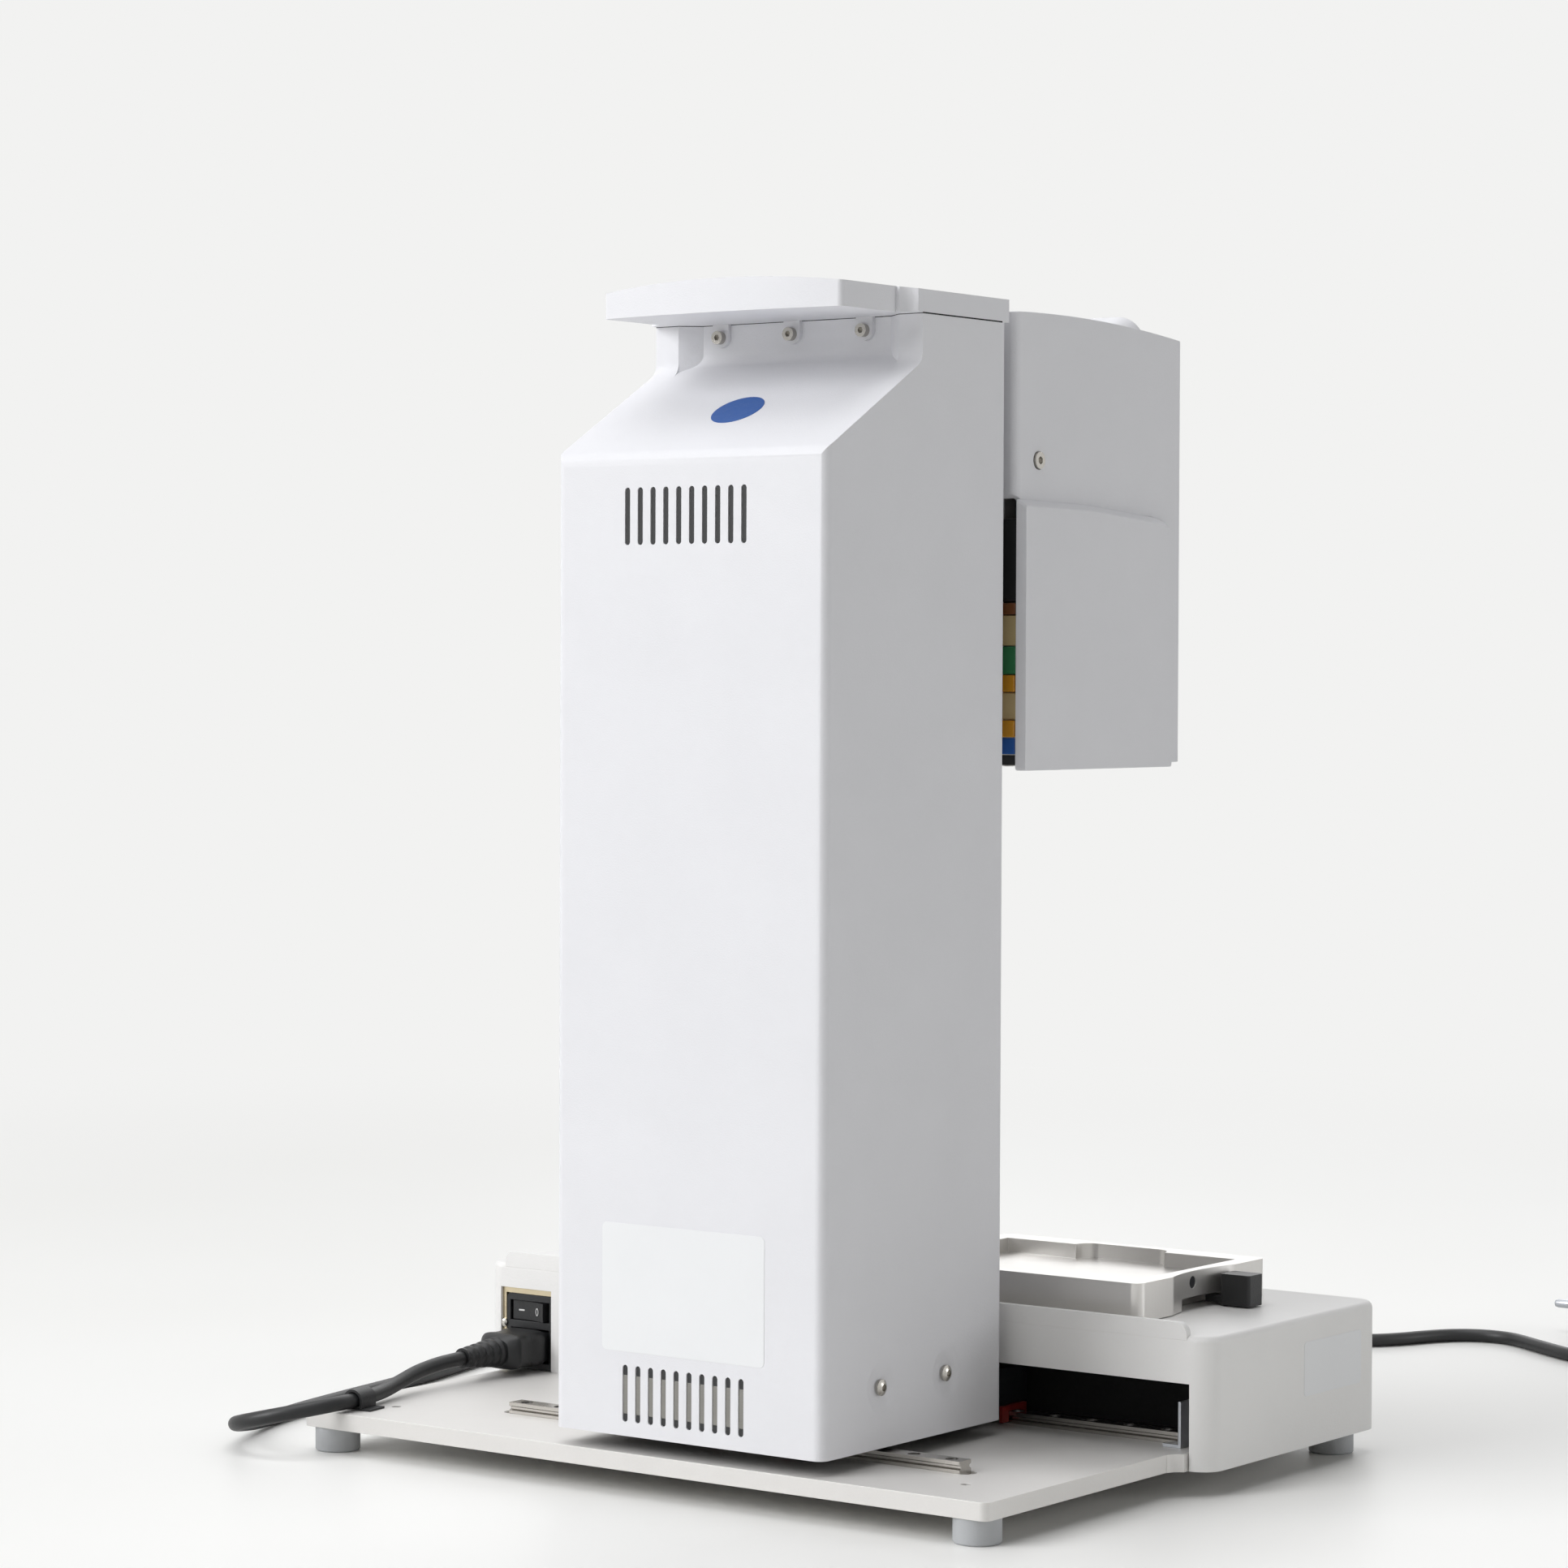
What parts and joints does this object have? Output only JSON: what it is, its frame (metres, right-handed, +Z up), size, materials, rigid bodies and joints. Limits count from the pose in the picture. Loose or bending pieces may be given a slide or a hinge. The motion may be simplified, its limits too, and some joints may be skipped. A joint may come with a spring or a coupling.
{
  "type": "liquid handling robot",
  "caption": "Bench-top liquid handling robot: a multichannel pipetting head with a console, on a lift tower that slides sideways on rails, over a base with two microplate holders.",
  "frame": {"origin": "on the bench plane, under the middle of the machine without its mains lead", "axes": "+Z up, +Y towards the rear, where the tower stands and the lead leaves, +X towards the operator's right; the console faces -Y"},
  "size_m": [0.5875, 0.7544, 0.5403],
  "materials": {
    "anodised_plate": "satin, glass-bead blasted and clear anodised",
    "machined_aluminium": "fine milled",
    "grey_rubber": "matt",
    "white_housing": "fine textured white coat",
    "white_shell": "fine spark texture, white",
    "rail_steel": "ground",
    "dark_steel": "black oxide",
    "zinc_steel": "zinc plated",
    "yellow_steel": "yellow passivated",
    "black_plastic": "moulded, black",
    "black_casting": "black coat",
    "board_green": "solder mask",
    "red_seal": "moulded",
    "brass": "machined",
    "display_glass": "smooth, dark",
    "console_black": "gloss",
    "grey_key": "moulded",
    "blue_key": "moulded",
    "white_key": "moulded",
    "cord_black": "matt sheath"
  },
  "bodies": {
    "base": {"base_plate": "anodised_plate", "feet": "grey_rubber", "front_housing": "white_housing", "rear_rail": "rail_steel", "front_rail": "rail_steel", "base_screws": "dark_steel", "rail_stops": "zinc_steel", "inlet_panel": "yellow_steel", "mains_inlet": "black_plastic", "cable_clip": "black_plastic", "power_supply": "zinc_steel", "main_board": "board_green", "usb_port": "zinc_steel", "plate_holder_b": "machined_aluminium", "holder_b_clip": "dark_steel", "shift_guides": "black_plastic", "mains_cord": "cord_black", "cord_coil": "cord_black", "cord_plugs": "cord_black"},
    "mains_rocker": {"mains_rocker": "black_plastic"},
    "shifting_holder": {"plate_holder_a": "machined_aluminium", "holder_a_clip": "dark_steel", "dowel_pin": "dark_steel"},
    "selector": {"selector_knob": "black_plastic"},
    "tower": {"tower_foot": "black_casting", "floor_blocks": "rail_steel", "block_seals": "red_seal", "lift_column": "machined_aluminium", "lift_rails": "rail_steel", "lift_motor": "black_casting", "screw_bearings": "dark_steel", "tower_fan": "black_plastic", "tower_board": "zinc_steel", "tower_front_panel": "white_shell", "tower_cover": "white_shell", "tower_cap": "white_shell", "cap_screws": "dark_steel", "cover_screws": "dark_steel"},
    "lift_screw": {"lift_screw": "rail_steel"},
    "head": {"lift_carriage": "machined_aluminium", "lift_blocks": "rail_steel", "head_frame": "machined_aluminium", "channel_block": "machined_aluminium", "guide_pins": "rail_steel", "plunger_motor": "black_casting", "head_board": "board_green", "head_cover": "white_shell", "side_covers": "white_shell", "head_screws": "dark_steel", "console_shell": "white_shell", "console_face": "console_black", "display": "display_glass", "touch_wheel": "grey_key"},
    "plunger": {"plunger_plate": "brass"},
    "plunger_screw": {"plunger_screw": "rail_steel"},
    "stripper": {"tip_stripper": "machined_aluminium"},
    "run_key": {"run_key": "blue_key"},
    "ok_key": {"ok_key": "white_key"},
    "left_key": {"left_key": "grey_key"},
    "right_key": {"right_key": "grey_key"}
  },
  "joints": [
    {"name": "tower_slide", "type": "slide", "parent": "base", "child": "tower", "axis": [1, 0, 0], "range_m": [-0.0565, 0.1195]},
    {"name": "head_lift", "type": "slide", "parent": "tower", "child": "head", "axis": [0, 0, 1], "range_m": [-0.2, 0]},
    {"name": "lift_screw_spin", "type": "hinge", "parent": "tower", "child": "lift_screw", "pos_m": [-0.0315, 0.06, 0.3], "axis": [0, 0, 1], "range_deg": [-1, 3601]},
    {"name": "plunger_stroke", "type": "slide", "parent": "head", "child": "plunger", "axis": [0, 0, 1], "range_m": [0, 0.02]},
    {"name": "plunger_screw_spin", "type": "hinge", "parent": "head", "child": "plunger_screw", "pos_m": [-0.0315, -0.0495, 0.4], "axis": [0, 0, 1], "range_deg": [-3601, 1]},
    {"name": "stripper_stroke", "type": "slide", "parent": "head", "child": "stripper", "axis": [0, 0, 1], "range_m": [-0.0045, 0]},
    {"name": "holder_shift", "type": "slide", "parent": "base", "child": "shifting_holder", "axis": [1, 0, 0], "range_m": [0, 0.0045]},
    {"name": "selector_slide", "type": "slide", "parent": "shifting_holder", "child": "selector", "axis": [0, 1, 0], "range_m": [0, 0.027]},
    {"name": "mains_rocker_tilt", "type": "hinge", "parent": "base", "child": "mains_rocker", "pos_m": [0.183, 0.0182, 0.0483], "axis": [0, 0, 1], "range_deg": [0, 16]},
    {"name": "run_key_press", "type": "slide", "parent": "head", "child": "run_key", "axis": [0, 0.9205, -0.3907], "range_m": [0, 0.0008], "stiffness_N_per_m": 300, "springref_m": -0.0005},
    {"name": "ok_key_press", "type": "slide", "parent": "head", "child": "ok_key", "axis": [0, 0.9205, -0.3907], "range_m": [0, 0.0008], "stiffness_N_per_m": 300, "springref_m": -0.0005},
    {"name": "left_key_press", "type": "slide", "parent": "head", "child": "left_key", "axis": [0, 0.9205, -0.3907], "range_m": [0, 0.0008], "stiffness_N_per_m": 300, "springref_m": -0.0005},
    {"name": "right_key_press", "type": "slide", "parent": "head", "child": "right_key", "axis": [0, 0.9205, -0.3907], "range_m": [0, 0.0008], "stiffness_N_per_m": 300, "springref_m": -0.0005}
  ],
  "couplings": [
    {"joint": "lift_screw_spin", "follows": "head_lift", "rad_per_m": -314.16},
    {"joint": "plunger_screw_spin", "follows": "plunger_stroke", "rad_per_m": -3141.6},
    {"joint": "selector_slide", "follows": "holder_shift", "ratio": 6}
  ]
}
